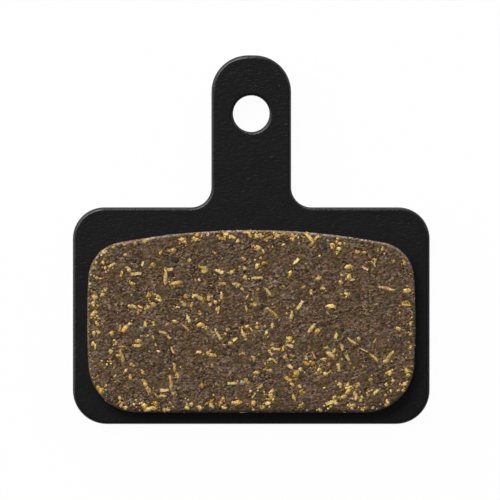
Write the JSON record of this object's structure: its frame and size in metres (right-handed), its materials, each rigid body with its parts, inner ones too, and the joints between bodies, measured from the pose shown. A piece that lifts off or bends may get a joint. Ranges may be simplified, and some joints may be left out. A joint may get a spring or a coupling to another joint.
{
  "type": "bicycle disc brake pad",
  "caption": "Flat disc brake pad: a black steel backing plate with a holed tab for the retaining pin, and a brown friction lining with brass chips that presses on the rotor.",
  "frame": {"origin": "on the back face of the plate, midway across it and midway up the lining, where the caliper's piston pushes", "axes": "+Z out of the friction face towards the rotor, +Y along the tab towards the pin hole, +X along the rotor's travel; the pad lies on its back"},
  "size_m": [0.0284, 0.0294, 0.004],
  "materials": {
    "black_coated_steel": "satin",
    "friction_compound": "matte",
    "brass_chips": "satin",
    "graphite_grains": "matte"
  },
  "bodies": {
    "root": {"backing_plate": "black_coated_steel", "friction_lining": "friction_compound"}
  },
  "joints": []
}
